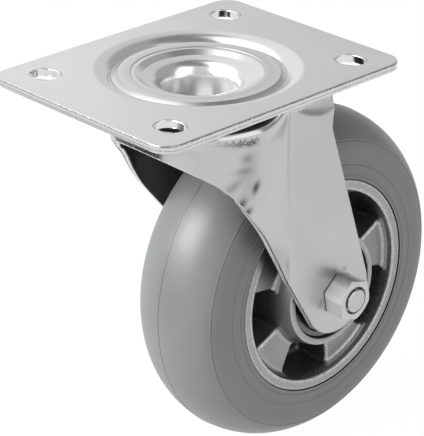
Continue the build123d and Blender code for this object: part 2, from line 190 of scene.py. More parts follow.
def piece(name, surfaces, body, material, slot, nodes, sharp=32.0, paint=None):
    """Makes one closed object from grids and triangle sheets, merged where they meet.

    A surface is (points, close_rows, close_columns) for a grid, or (points, triangles). Paint holds,
    for each named layer, one number or one array of numbers per surface, from 0 to 1."""
    points, faces, start = [], [], 0
    for surface in surfaces:
        if len(surface) == 2:
            vertices, corners = surface
        else:
            grid, close_rows, close_columns = surface
            vertices = grid.reshape(-1, 3)
            corners = quads(*grid.shape[:2], close_rows, close_columns)
        points.append(vertices)
        faces += (np.asarray(corners) + start).tolist()
        start += len(vertices)
    mesh = bpy.data.meshes.new(name)
    mesh.from_pydata(np.vstack(points) * MM, [], faces)
    for layer, values in (paint or {}).items():
        spread = [np.broadcast_to(np.ravel(value), len(part)) for value, part in zip(values, points)]
        mesh.attributes.new(layer, "FLOAT", "POINT").data.foreach_set("value", np.concatenate(spread))
    finished(name, mesh, body, material, slot, nodes, sharp)


# The body that each node belongs to, and the nodes that have a piece of their own
owner_of = {member: body for body, members in frame["record"]["behaviour"]["bodies"].items()
            for member in members}
replaced = set()


def finished(name, mesh, body, material, slot, nodes, sharp, turn_out=True):
    """Merges doubles, turns faces outwards, shades smooth but for sharp edges, and hangs it on its body."""
    work = bmesh.new()
    work.from_mesh(mesh)
    bmesh.ops.remove_doubles(work, verts=work.verts, dist=0.002 * MM)
    bmesh.ops.dissolve_degenerate(work, edges=work.edges, dist=0.0005 * MM)
    if turn_out:
        bmesh.ops.recalc_face_normals(work, faces=work.faces)
    work.to_mesh(mesh)
    work.free()
    mesh.polygons.foreach_set("use_smooth", np.ones(len(mesh.polygons), bool))
    mesh.set_sharp_from_angle(angle=radians(sharp))
    mesh.materials.clear()
    mesh.materials.append(material)
    thing = bpy.data.objects.new(name, mesh)
    bpy.context.scene.collection.objects.link(thing)
    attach(thing, body)
    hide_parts(*nodes)
    replaced.update(nodes)


def smoothed(member, body, material, slot):
    """A CAD node's own form with its triangles joined, so that its curves shade smooth."""
    mesh = frame["nodes"][member].data.copy()
    finished(member + "_smooth", mesh, body, material, slot, [member], 30.0, turn_out=False)


# ---- materials
def srgb(code):
    """Linear colour of an sRGB hex code: c / 12.92 below 0.04045, else ((c + 0.055) / 1.055) ** 2.4."""
    c = np.array([int(code[i:i + 2], 16) for i in (1, 3, 5)]) / 255
    linear = np.where(c <= 0.04045, c / 12.92, ((c + 0.055) / 1.055) ** 2.4)
    return (*linear, 1.0)


def feed(tree, made, inputs):
    """Sets a node's inputs: numbers and colours as they are, other nodes' outputs by a link."""
    for key, value in inputs.items():
        if isinstance(value, bpy.types.NodeSocket):
            tree.links.new(value, made.inputs[key])
        else:
            made.inputs[key].default_value = value


def node(tree, kind, inputs=None, take=None, **settings):
    """Adds one node with its settings and links; returns the output to take, or else the first in use."""
    made = tree.nodes.new("ShaderNode" + kind)
    for key, value in settings.items():
        setattr(made, key, value)
    feed(tree, made, inputs or {})
    return made.outputs[take] if take else next(output for output in made.outputs if output.enabled)


def new_material(name, noises=(), layers=(), **sockets):
    """A material, its tree and its shader, with the shader's constant sockets set.

    After them come the noises in Object coordinates, each given as (size in millimetres, detail),
    and the painted layers."""
    material = bpy.data.materials.new(name)
    material.use_nodes = True
    tree = material.node_tree
    shader = tree.nodes["Principled BSDF"]
    feed(tree, shader, {key.replace("_", " "): value for key, value in sockets.items()})
    made = [material, tree, shader]
    place = node(tree, "TexCoord", take="Object")
    for size, detail in noises:
        inputs = {"Vector": place, "Scale": 1 / (size * MM), "Detail": detail}
        made.append(node(tree, "TexNoise", inputs, "Fac"))
    return made + [node(tree, "Attribute", take="Fac", attribute_name=layer) for layer in layers]


def zinc_plated_sheet(name, tone, shade, gloss):
    """Bright zinc on pressed sheet steel: a pale mirror, blurred by fine grain, uneven where it was drawn.

    The painted layers: a dull one, matt and dark, which is painted shade under the plate, along its
    folds, inside the fork, in its dents and crease, on the nut's facets and in the countersink, and
    painted dark reflection on the head's top and on the fork's front; a scored one, dark specks on the
    torn edges, which also paint a speckled dark reflection into the fork's neck and front; burnished
    where a bend slid over the tool; and sheared on the cut edge, whose torn grain scatters light
    instead of mirroring it. The real grain is too fine to show and is drawn at 0.6 mm."""
    material, tree, shader, grain, cloud, waves, specks, dull_and_shade, scored_and_dark_reflection, burnished, sheared = new_material(
        name, ((0.6, 3), (22, 3), (14, 1), (0.7, 3)), ("dull_and_shade", "scored_and_dark_reflection", "burnished", "sheared"))
    speckled = node(tree, "MapRange", {"Value": specks, "From Min": 0.32, "From Max": 0.54})
    marked = node(tree, "Math", {0: scored_and_dark_reflection, 1: speckled}, operation="MULTIPLY")
    colour = srgb(tone)
    # the scored specks and the dull colour carry painted shade and dark reflection as well as real marks
    for share, code in ((cloud, shade), (marked, "#404242"), (dull_and_shade, "#3B3C3D")):
        colour = node(tree, "Mix", {"Factor": share, "A": colour, "B": srgb(code)}, data_type="RGBA")
    blur = node(tree, "MapRange", {"Value": cloud, "To Min": gloss[0], "To Max": gloss[1]})
    for share, value in ((burnished, 0.15), (dull_and_shade, 0.5)):
        blur = node(tree, "Mix", {"Factor": share, "A": blur, "B": value}, data_type="FLOAT")
    metal = node(tree, "MapRange", {"Value": sheared, "To Min": 1.0, "To Max": 0.3})
    slow = node(tree, "Bump", {"Height": waves, "Strength": 0.35, "Distance": 0.12 * MM})
    fine = node(tree, "Bump", {"Height": grain, "Strength": 0.7, "Distance": 0.018 * MM, "Normal": slow})
    feed(tree, shader, {"Base Color": colour, "Roughness": blur, "Metallic": metal, "Normal": fine})
    return material


def moulded_rubber():
    """Solid rubber straight from the mould: an even mid grey with a soft sheen, darker along its fine lines.

    The painted layer darkens the mould line, and is painted shade in the grooves of the side wall and
    in the joint to the rim. The skin's pores are too fine to show and are drawn at 0.5 mm."""
    material, tree, shader, cloud, pores, lined = new_material(
        "moulded_rubber", ((30, 4), (0.5, 2)), ["lined"],
        IOR=1.52, Roughness=0.42, Coat_Weight=0.14, Coat_Roughness=0.3)
    colour = srgb("#5C5F5E")
    for share, code in ((cloud, "#666968"), (lined, "#2C2D2D")):
        colour = node(tree, "Mix", {"Factor": share, "A": colour, "B": srgb(code)}, data_type="RGBA")
    bump = node(tree, "Bump", {"Height": pores, "Strength": 0.3, "Distance": 0.02 * MM})
    feed(tree, shader, {"Base Color": colour, "Normal": bump})
    return material


def die_cast_aluminium():
    """Aluminium as cast: grey with a matt skin, with painted shade in the pockets.

    The painted layers: one is painted shade in the pockets, on the drum's wall and in the joints;
    the other marks where the lathe has cut the faces of the rim and the hub, which are brighter and
    show the grain of the casting, and it also paints highlights on their brinks and the spokes' edges."""
    material, tree, shader, skin, cloud, recess_shade, turned_and_highlight = new_material(
        "die_cast_aluminium", ((0.9, 4), (12, 3)), ("recess_shade", "turned_and_highlight"), Metallic=1.0)
    grain = node(tree, "MapRange", {"Value": skin, "From Min": 0.33, "From Max": 0.67})
    cast, shaded, cut = (
        node(tree, "Mix", {"Factor": share, "A": srgb(dark), "B": srgb(pale)}, data_type="RGBA")
        for share, dark, pale in ((cloud, "#8E8D8E", "#A2A1A2"), (grain, "#525152", "#8E8D8E"),
                                  (grain, "#9A9A9A", "#C8C8C8")))
    # painted shade mixes in first, then the lathe-cut colour, which also gives the painted highlights
    colour = cast
    for share, other in ((recess_shade, shaded), (turned_and_highlight, cut)):
        colour = node(tree, "Mix", {"Factor": share, "A": colour, "B": other}, data_type="RGBA")
    matt = node(tree, "MapRange", {"Value": skin, "To Min": 0.38, "To Max": 0.55})
    gloss = node(tree, "Mix", {"Factor": turned_and_highlight, "A": matt, "B": 0.34}, data_type="FLOAT")
    bump = node(tree, "Bump", {"Height": skin, "Strength": 0.6, "Distance": 0.06 * MM})
    feed(tree, shader, {"Base Color": colour, "Roughness": gloss, "Normal": bump})
    return material


def plain(name, code, roughness, grain, **sockets):
    """A small hidden piece's finish: one colour, broken up by a noise of the given grain in millimetres."""
    material, tree, shader, noise = new_material(name, [(grain, 3)], **sockets)
    dark = tuple(0.8 * c for c in srgb(code)[:3]) + (1.0,)
    colour = node(tree, "Mix", {"Factor": noise, "A": dark, "B": srgb(code)}, data_type="RGBA")
    gloss = node(tree, "MapRange", {"Value": noise, "To Min": roughness - 0.05, "To Max": roughness + 0.05})
    feed(tree, shader, {"Base Color": colour, "Roughness": gloss})
    return material


zinc_plate = zinc_plated_sheet("zinc_plated_plate", "#E2E3E2", "#DBDCDC", (0.15, 0.24))
zinc_fork = zinc_plated_sheet("zinc_plated_fork", "#C6C8C8", "#BABBBB", (0.26, 0.36))
zinc_fastener = zinc_plated_sheet("zinc_plated_fastener", "#E0E1DF", "#D2D4D2", (0.2, 0.3))
rubber = moulded_rubber()
aluminium = die_cast_aluminium()
drawn_steel = plain("drawn_steel", "#8F9193", 0.35, 2.0, Metallic=1.0)
ground_steel = plain("ground_bearing_steel", "#6C6C6D", 0.22, 3.0, Metallic=1.0)
ball_steel = plain("polished_bearing_steel", "#C4C5C7", 0.08, 5.0, Metallic=1.0)
shield_steel = plain("pressed_shield_steel", "#4C4D4E", 0.3, 2.0, Metallic=1.0)
polyamide = plain("moulded_polyamide", "#2B2824", 0.5, 1.0)
black_rubber = plain("black_seal_rubber", "#161616", 0.45, 1.5)


# ---- top plate
def rounded_rectangle(width, length, corner):
    """Anticlockwise outline centred on the origin."""
    x, y = width / 2, length / 2
    return rounded([(x, -y), (x, y), (-x, y), (-x, -y)], [corner] * 4, closed=True, steps=16, hold=1.0)


def slot_outline(x, y):
    """Anticlockwise outline of one slot: two half circles joined by straight runs along X."""
    a = np.linspace(-pi / 2, pi / 2, 25)
    radius = SLOT_WIDTH / 2
    right = np.stack([x + SLOT_TRAVEL / 2 + radius * np.cos(a), y + radius * np.sin(a)], axis=1)
    return np.vstack([right, 2 * np.array([x, y]) - right])


def flat_sheet(loops, height, inside):
    """Triangles of the flat between the loops, at one height; inside says which points belong to it."""
    points = np.vstack(loops)
    edges, start = [], 0
    for loop in loops:
        ring = start + np.arange(len(loop))
        edges += np.stack([ring, np.roll(ring, -1)], axis=1).tolist()
        start += len(loop)
    made = delaunay_2d_cdt([Vector(p) for p in points], edges, [], 0, 1e-6)
    flat = np.array([tuple(p) for p in made[0]])
    triangles = np.array(made[2])
    keep = inside(flat[triangles].mean(axis=1))
    return np.column_stack([flat, np.full(len(flat), height)]), triangles[keep]


def make_plate():
    """Blanked and pressed plate: flat sheets, rolled edges round the outline and slots, a turned centre."""
    outline = rounded_rectangle(PLATE_WIDTH, PLATE_LENGTH, PLATE_CORNER)
    places = [(sx * SLOT_X / 2, sy * SLOT_Y / 2) for sx in (1, -1) for sy in (1, -1)]
    slots = [slot_outline(x, y) for x, y in places]
    t = PLATE_THICKNESS
    tear = [(0.0, TEAR_LINE + step) for step in (0.35, 0.15, -0.15, -0.35)]
    edge = rounded([(3, 0), (0, 0), *tear, (0.08, -t), (3, -t)],
                   [0, PLATE_ROLL, 0, 0, 0, 0, 0.25, 0], hold=0.3)[1:-1]
    wall = rounded([(-3, 0), (0, 0), (-0.15, -t), (-3, -t)], [0, 0.45, 0.15, 0], steps=6, hold=0.2)[1:-1]
    surfaces = [(carried(edge, outline), False, True)]
    surfaces += [(carried(wall, loop), False, True) for loop in slots]
    # dark specks lie along the torn edge and under the rolled one; the faces beside them stay clean
    drop = edge[:, 1]
    torn = bell(drop, TEAR_LINE, 0.2, 4) * 0.7 + 0.85 * bell(drop, ROLL_LINE, 0.28)
    scored_and_dark_reflection = [np.repeat(torn, len(outline))] + [0.0] * (len(slots) + 3)
    between_faces = np.abs(drop + t / 2) < t / 2 - 0.1
    dull_and_shade = [np.repeat(0.12 * between_faces, len(outline))] + [0.0] * len(slots)

    # the pressed centre as (radius, height): race, ridge and funnel down to the riveted end, and back
    upper = rounded([(PRESSED_RADIUS, 0), (41.2, 0), (37.6, -3.7), (34.7, -1.9), (29.6, -1.9), (29.3, -2.2),
                     (27.4, -2.2), (24.4, -4.0), (KINGPIN_BORE, -5.3), (KINGPIN_BORE, KINGPIN_END)],
                    [0, 10.0, 0.8, 0.7, 0.1, 0.15, 0.8, 0.9, 7.2, 0], steps=14)
    lower = rounded([(KINGPIN_BORE, KINGPIN_END), (22.4, KINGPIN_END), (22.4, -24.35), (19, -24.35),
                     (19, -9.1), (24.5, -7.5), (29.5, -5.4), (34.5, -5.4), (37.1, -6.9), (43.5, -t),
                     (PRESSED_RADIUS, -t)], [0, 1.2, 0.3, 0, 2.5, 1.2, 1.2, 1.2, 1.2, 4.0, 0], steps=6)
    centre = turned_z(np.vstack([upper, lower[1:]]))
    surfaces.append((centre, False, True))
    # painted shade along the folds on top
    folds = sum(bell(upper[:, 0], radius, 0.3) for radius in FOLDS) * (upper[:, 1] > -4.2)
    # painted shade over the whole underside of the pressed centre
    centre_shade = (np.arange(len(centre)) >= len(upper) + 6).astype(float)
    centre_shade[:len(upper)] += 0.35 * folds
    dull_and_shade.append(np.repeat(np.clip(centre_shade, 0, 1), centre.shape[1]))
    in_bore = centre[:, 0, 0] < KINGPIN_BORE + 0.3
    sheared = [0.0] * (len(slots) + 1) + [np.repeat(0.45 * in_bore, centre.shape[1]), 0.0, 0.0]

    ring, shade_ring = (turned_z(np.array([[radius, 0.0]]))[0, :, :2]
                    for radius in (PRESSED_RADIUS, UNDERSIDE_SHADE_RADIUS))

    def inside(p):
        solid = np.linalg.norm(p, axis=1) > PRESSED_RADIUS
        for x, y in places:
            across = np.maximum(np.abs(p[:, 0] - x) - SLOT_TRAVEL / 2, 0)
            solid &= np.hypot(across, p[:, 1] - y) > SLOT_WIDTH / 2
        return solid

    for row, height in ((0, 0.0), (-1, -t)):
        loops = [carried(edge, outline)[row, :, :2], ring, shade_ring]
        loops += [carried(wall, loop)[row, :, :2] for loop in slots]
        sheet = flat_sheet(loops, height, inside)
        surfaces.append(sheet)
        # painted shade on the underside round the races, fading out by the outer ring
        dull_and_shade.append((np.linalg.norm(sheet[0][:, :2], axis=1) < PRESSED_RADIUS + 1) * float(height < 0))
    piece("pressed_top_plate", surfaces, "mount", zinc_plate, "zinc_plate", ["top_plate"],
                 paint={"dull_and_shade": dull_and_shade, "scored_and_dark_reflection": scored_and_dark_reflection, "sheared": sheared})


# ---- wheel
def make_tyre():
    """Solid tyre: a rounded tread with its mould line, and side walls with fine moulded rings.

    Half the section is an arc and a straight wall. The shoulder between them is rounded by averaging
    the line over the length of its arc, and each fine line stands out of it as a bell curve."""
    shoulder_x = WHEEL_HALF - SHOULDER_INSET
    tread_centre = WHEEL_RADIUS - TREAD_RADIUS
    shoulder = np.array([shoulder_x, tread_centre + (TREAD_RADIUS ** 2 - shoulder_x ** 2) ** 0.5])
    a = np.linspace(0, np.arcsin(shoulder_x / TREAD_RADIUS), 200)
    tread = np.stack([TREAD_RADIUS * np.sin(a), tread_centre + TREAD_RADIUS * np.cos(a)], axis=1)
    wall = shoulder + np.linspace(0, 1, 400)[1:, None] * (np.array([WHEEL_HALF, TYRE_SEAT]) - shoulder)
    line = resampled(np.vstack([tread, wall]), 900)
    span = int(SHOULDER_ROUND * 0.9 / np.linalg.norm(line[1] - line[0]))
    kernel = np.hanning(2 * span + 1)
    kernel /= kernel.sum()
    longer = np.vstack([line[span:0:-1] * [-1, 1], line, 2 * line[-1] - line[-2:-span - 2:-1]])
    line = np.stack([np.convolve(longer[:, k], kernel, "valid") for k in (0, 1)], axis=1)
    ahead = np.gradient(line, axis=0)
    normal = np.stack([-ahead[:, 1], ahead[:, 0]], axis=1)
    normal *= 1 / np.linalg.norm(normal, axis=1)[:, None]

    x, r = line[:, 0], line[:, 1]
    on_wall = x > shoulder_x - 4
    flash = bell(x, 0, 0.22)
    ridge, lined, near = 0.15 * flash, 0.8 * flash, x < 0.8
    # the grooves get painted shade
    for radius, height in WALL_RINGS:
        ring = np.where(on_wall, bell(r, radius, 0.28), 0)
        ridge, lined = ridge + height * ring, lined + 0.25 * ring * (height < 0)
        near = near | (on_wall & (np.abs(r - radius) < 0.8))
    line = line + normal * ridge[:, None]
    # rows lie close together only where a line is moulded in
    at = np.arange(len(line))
    keep = (at % 18 == 0) | (near & (at % 3 == 0)) | (at == at[-1])
    line, lined = line[keep], lined[keep]
    seat = TYRE_SEAT + 0.05
    inner = rounded([line[-1], (WHEEL_HALF - 0.05, seat), (0, seat)], [0, 1.4, 0], steps=6)
    line = np.vstack([line, inner[1:]])
    # painted shade in the joint to the rim
    lined = np.concatenate([lined, np.ones(len(line) - len(lined))])
    both = np.vstack([line, (line * [-1, 1])[::-1][1:]])
    lined = np.repeat(np.concatenate([lined, lined[::-1][1:]]), 288)
    piece("solid_tyre", [(turned_x(both, 288), False, True)], "wheel", rubber, "grey_rubber",
                 ["tyre"], 60, paint={"lined": [lined]})


def make_wheel_centre():
    """Die-cast centre: one radial profile from bore to seat, whose floor falls from spoke to pocket."""
    floor_round, top_round, plan_round, draft = 2.0, 1.7, 3.0, tan(radians(3))
    hub_top, drum_top = HUB_HALF - 1.2, WHEEL_HALF - 1.0
    # half a spoke across: offset from the spoke's side, and height
    foot = (SPOKE_FACE - WEB_FACE) * draft
    side = rounded([(-20, SPOKE_FACE), (0, SPOKE_FACE), (foot, WEB_FACE), (20, WEB_FACE)],
                   [0, top_round, floor_round, 0], steps=7)[1:-1]
    plateau = np.linspace(0, 1, 10, endpoint=False)
    pocket = np.linspace(0, 1, 12)[1:]
    heights = np.concatenate([np.full(len(plateau), SPOKE_FACE), side[:, 1], np.full(len(pocket), WEB_FACE)])
    floor = heights[:, None]

    def hub_wall(x):
        return np.interp(x, [WEB_FACE, SPOKE_FACE, HUB_HALF], [HUB_FLOOR, HUB_FOOT, HUB_RADIUS])

    def drum_wall(x):
        return np.interp(x, [WEB_FACE, SPOKE_FACE, WHEEL_HALF], [DRUM_FLOOR, DRUM_FOOT, RIM_INSIDE])

    # down the hub's wall, round into the floor, across it, and round up the drum's wall
    fall, flat = np.linspace(0, 1, 9), np.linspace(0, 1, 15)[1:-1]
    bend = np.linspace(0, pi / 2, 8)
    x_hub = hub_top + (floor + floor_round - hub_top) * fall
    x_drum = (drum_top + (floor + floor_round - drum_top) * fall)[:, ::-1]
    r_in, r_out = hub_wall(floor) + floor_round, drum_wall(floor) - floor_round
    rows_x = [x_hub, floor + floor_round * (1 - np.sin(bend[1:])), floor + 0 * flat,
              floor + floor_round * (1 - np.cos(bend[:-1])), x_drum]
    rows_r = [hub_wall(x_hub) + 0 * floor, r_in - floor_round * np.cos(bend[1:]),
              r_in + (r_out - r_in) * flat, r_out + floor_round * np.sin(bend[:-1]), drum_wall(x_drum)]
    x, r = np.hstack(rows_x).T, np.hstack(rows_r).T

    # angle of every point: the spoke's side line widens into both ends with a round of plan_round
    gaps = np.clip(r - HUB_FOOT, 0, plan_round), np.clip(DRUM_FOOT - r, 0, plan_round)
    flare = sum(plan_round - np.sqrt(plan_round ** 2 - (plan_round - gap) ** 2) for gap in gaps)
    share = np.clip((r - HUB_FOOT) / (DRUM_FOOT - HUB_FOOT), 0, 1)
    half = (radians(SPOKE_ROOT_ANGLE / 2) + share * radians((SPOKE_ANGLE - SPOKE_ROOT_ANGLE) / 2)
            + 0.75 * flare / r)
    k, last = len(plateau), len(plateau) + len(side)
    angle = np.empty_like(r)
    angle[:, :k] = (half[:, :k] + side[0, 0] / r[:, :k]) * plateau
    angle[:, k:last] = half[:, k:last] + side[:, 0] / r[:, k:last]
    start = half[:, last:] + side[-1, 0] / r[:, last:]
    angle[:, last:] = start + (pi / SPOKES - start) * pocket

    hub_line = rounded([(0, HUB_WAIST), (BEARING_SHOULDER, HUB_WAIST), (BEARING_SHOULDER, BEARING_SEAT),
                        (HUB_HALF, BEARING_SEAT), (HUB_HALF, HUB_RADIUS), (hub_top, hub_wall(hub_top))],
                       [0, 0.3, 0.3, 0.5, 0.8, 0], steps=5)[:-1]
    face_rows = [(WHEEL_HALF, RIM_INSIDE + step) for step in (0, 1.1, 1.5, 3.6, 4.0)]
    rim_line = rounded([(drum_top, drum_wall(drum_top)), *face_rows, (WHEEL_HALF, TYRE_SEAT), (0, TYRE_SEAT)],
                       [0, 0.6, 0, 0, 0, 0, 1.0, 0], steps=5)[1:]

    def spread(line, i):
        return np.repeat(line[:, i:i + 1], len(heights), axis=1)

    x, r = (np.vstack([spread(hub_line, i), rows, spread(rim_line, i)]) for i, rows in enumerate((x, r)))
    angle = np.vstack([np.repeat(angle[:1], len(hub_line), axis=0), angle,
                       np.repeat(angle[-1:], len(rim_line), axis=0)])

    def mirrored(half_spoke, other_half):
        return np.hstack([half_spoke, other_half[:, ::-1][:, 1:-1]])

    angle = mirrored(angle, 2 * pi / SPOKES - angle)
    a = np.hstack([angle + radians(SPOKE_PHASE) + i * 2 * pi / SPOKES for i in range(SPOKES)])
    x, r = (np.hstack([mirrored(v, v)] * SPOKES) for v in (x, r))
    surfaces = [(about_axle(sign * x, r, a), False, True) for sign in (1, -1)]

    on_spoke = np.tile(mirrored(heights[None], heights[None]), SPOKES) > SPOKE_FACE - top_round
    # painted shade: deeper into the pockets, and on the drum's wall
    in_pocket = soft_step((SPOKE_FACE - 1.5 - x) / 9, 0.2) * (r < RIM_INSIDE + 0.5)
    on_drum = soft_step((r - DRUM_FOOT + 2.6) / 1.2, 0.2) * (x < WHEEL_HALF - 0.8) * (x > WEB_FACE - 1)
    on_drum = on_drum * np.where(on_spoke, 0.4, 1.0)
    # painted shade fills the joints to the tyre and the bearing
    joint = (r > TYRE_SEAT - 0.75) | ((r < BEARING_SEAT + 0.45) & (x > BEARING_SHOULDER + 1))
    recess_shade = np.maximum(np.clip(np.maximum(in_pocket, 0.9 * on_drum), 0, 1), joint)
    # the lathe cut both faces; painted highlights lie on their brinks and on the spokes' upper edges and ends
    rim_face = (x > WHEEL_HALF - 0.8) & (r > RIM_INSIDE - 0.8)
    hub_face = (x > HUB_HALF - 0.6) & (r > BEARING_SEAT - 1)
    brink = (rim_face & (np.abs(r - RIM_INSIDE - 2.55) > 1.2)) | (hub_face & (r > HUB_RADIUS - 0.9))
    spoke_edge = (r > HUB_FOOT + 1) & (r < DRUM_FOOT - 1) & (x < SPOKE_FACE - 0.02) & (x > SPOKE_FACE - 1.3)
    spoke_end = bell(x, SPOKE_FACE + 0.6, 0.7) * (np.abs(r - 36.9) > 5.5) * on_spoke * (x < hub_top)
    turned_and_highlight = np.select([joint, brink, rim_face, hub_face, spoke_edge],
                       [0.0, np.where(rim_face, 1.0, 0.6), 0.3, 0.15, 0.7], 0.7 * spoke_end)
    piece("die_cast_centre", surfaces, "wheel", aluminium, "cast_aluminium", ["wheel_rim"], 40,
                 paint={"recess_shade": [recess_shade] * 2, "turned_and_highlight": [turned_and_highlight] * 2})


# ---- fork
# Dents and bumps of pressing, and dark spots by the nut: y, z, slant, half width, half height,
# depth out, share of dull (painted shade in a dent; below zero it takes shade away)
MARKS = (
    (-4.7, -41.8, 0.44, 1.9, 2.9, -0.45, 1.00),
    (-11.3, -48.4, 0.60, 2.0, 2.8, -0.22, 0.90),
    (-8.5, -52.4, 0.60, 1.8, 1.8, -0.22, 1.00),
    (-9.2, -27.4, 0.00, 2.8, 2.4, -0.14, 0.42),
    (-11.0, -32.8, 0.00, 4.0, 1.8, -0.12, 0.36),
    (-15.8, -39.8, 0.90, 2.2, 3.4, -0.16, 0.40),
    (-9.5, -38.0, 0.35, 5.0, 14.0, -0.10, 0.22),
    (-13.0, -42.0, 0.60, 1.6, 4.0, 0.20, -0.12),
    (-7.9, -45.0, 0.50, 1.6, 3.0, 0.25, -0.20),
    (-1.5, -36.0, 0.10, 2.0, 12.0, 0.20, -0.10),
    (51.6, -102.9, 0.00, 1.1, 1.2, 0.00, 0.50),
    (58.2, -103.7, 0.00, 1.2, 0.9, 0.00, 0.45),
    (46.7, -112.8, 0.00, 0.9, 1.3, 0.00, 0.50),
    (42.3, -116.8, 0.50, 0.8, 1.6, 0.00, 0.40),
)

# A speckled band of painted dark reflection in the neck: height, half height, and the y between which it lies
NECK_DARK_Z, NECK_DARK_HALF, NECK_DARK_FRONT, NECK_DARK_REAR = -19.6, 2.4, -27.0, -4.0
DARK_FRONT_X, DARK_FRONT_Y = 14.6, -20.0  # painted dark reflection on the front, between this x and its mirror, before this y
# The sheet is drawn in along the apron's edge: depth, how far it reaches, and its heights
APRON_DRAW, APRON_REACH, APRON_DRAW_END = 1.7, 2.4, -38.0
CORNER_DRAW, CORNER_REACH, CORNER_TOP, CORNER_END = 0.9, 3.0, -43.0, -52.0
CREASE_DEPTH, CREASE_HALF, CREASE_TOP, CREASE_END = 0.14, 1.1, -19.0, -60.0
CREASE_TURN, NECK_TURN, FLANK_TURN = -50.0, -20.0, -52.0  # below these the crease and the slope change


def soft_step(u, width):
    """0 below 0, 1 above 1 and straight between, with both corners rounded over the given width."""
    def ramp(v):
        return (np.sqrt(v ** 2 + width ** 2) + v) / 2
    return ramp(u) - ramp(u - 1)


def lesser(a, b, width):
    """The smaller of two values; where they differ by less than the width, rounded by a parabola."""
    near = np.maximum(width - np.abs(a - b), 0) / width
    return np.minimum(a, b) - near ** 2 * width / 4


def greater(a, b, width):
    """The larger of two values, rounded in the same way."""
    return -lesser(-a, -b, width)


def crease_at(z):
    """The y at which the round flank meets the flat leg, at height z."""
    return CREASE_HIGH + (CREASE_LOW - CREASE_HIGH) * soft_step((CREASE_TURN - z) / 18, 0.2)


def lens_at(y):
    """Lower end of the lens-shaped flat under the head: a curve of power 1.7, lowest at its rear end."""
    return LENS_LOW + (LENS_HIGH - LENS_LOW) * (np.abs(LENS_REAR - y) / (LENS_REAR - LENS_FRONT)) ** 1.7


def marks_at(y, z):
    """For each mark its cloud, a slanted bell curve, with its depth and its share of dull."""
    for mark_y, mark_z, slant, wide, high, depth, share in MARKS:
        u, v = y - mark_y, z - mark_z
        yield np.exp(-((u - slant * v) / wide) ** 2 - (v / high) ** 2), depth, share


def fork_form(w, z):
    """The fork's outer face without its relief, at w millimetres round from the front and height z.

    The plan at each height is an arc about the swivel axis, a straight flank that slants in from a
    soft ridge to a crease, and the flat leg: x = greater(leg, lesser(arc, flank))."""
    w, z = np.broadcast_arrays(np.asarray(w, float), np.asarray(z, float))
    to_neck = soft_step((WALL_FOOT - z) / (WALL_FOOT - NECK_FOOT), 0.22)
    to_foot = soft_step((NECK_FOOT - z) / (NECK_FOOT - FLANK_FOOT), 0.05)
    radius = HEAD_RADIUS - NECK_INSET * to_neck + FLANK_SWELL * to_foot
    slope = HEAD_SLOPE + (NECK_SLOPE - HEAD_SLOPE) * soft_step((NECK_TURN - z) / 12, 0.3)
    slope = slope + (FLANK_SLOPE - NECK_SLOPE) * soft_step((FLANK_TURN - z) / 14, 0.3)
    slope = slope * (1 - soft_step((FLANK_FADE - z) / (FLANK_FADE - FLANK_GONE), 0.3))
    softer = HEAD_SOFT * soft_step((z + 38) / 14, 0.3)

    turn = pi / 2 + np.arcsin(FRONT_TURN / radius)
    a = np.minimum(w / FRONT_RUN, 1) * turn - pi / 2
    on_front = w < FRONT_RUN
    y = np.where(on_front, radius * np.sin(a), FRONT_TURN + w - FRONT_RUN)
    arc = np.sqrt(np.maximum(radius ** 2 - y ** 2, 0))
    flank = LEG_OUTSIDE + slope * (crease_at(z) - y)
    side = greater(LEG_OUTSIDE, lesser(arc, flank, RIDGE_SOFT + softer), CREASE_SOFT + softer / 4)
    above = np.clip(z - lens_at(y), 0, LENS_REACH)
    side = side - LENS_LEAN * (above - above ** 2 / (2 * LENS_REACH))
    x = np.where(on_front, radius * np.cos(a), side)
    return np.stack([x, y, z], axis=-1)


def fork_relief(point):
    """How far the pressed sheet stands out of its plain form, in millimetres, at points of it.

    Along the apron's edge it is drawn in by depth * exp(-distance / reach); the crease is a shallow
    groove, and every mark adds its depth times its cloud."""
    y, z = point[..., 1], point[..., 2]
    (corner_y, corner_z), (shoulder_y, shoulder_z) = APRON_CORNER, SHOULDER
    down, back = sin(radians(APRON_SLANT)), cos(radians(APRON_SLANT))
    above_apron = (z - corner_z) * back + (y - corner_y) * down
    run_y, run_z = shoulder_y - corner_y, shoulder_z - corner_z
    above_shoulder = (run_y * (z - corner_z) - run_z * (y - corner_y)) / np.hypot(run_y, run_z)
    from_edge = np.maximum(np.minimum(above_apron, above_shoulder), 0)
    high_up = 1 - soft_step((APRON_DRAW_END - z) / 5, 0.3)
    at_corner = soft_step((CORNER_TOP - z) / 4, 0.3), 1 - soft_step((CORNER_END - z) / 8, 0.3)
    on_crease = soft_step((z - CREASE_END) / 12, 0.2), soft_step((CREASE_TOP - z) / 5, 0.2)
    relief = -APRON_DRAW * np.exp(-from_edge / APRON_REACH) * high_up
    relief = relief - CORNER_DRAW * np.exp(-from_edge / CORNER_REACH) * at_corner[0] * at_corner[1]
    relief = relief - CREASE_DEPTH * bell(y, crease_at(z), CREASE_HALF) * on_crease[0] * on_crease[1]
    for cloud, depth, _ in marks_at(y, z):
        relief = relief + depth * cloud
    return relief


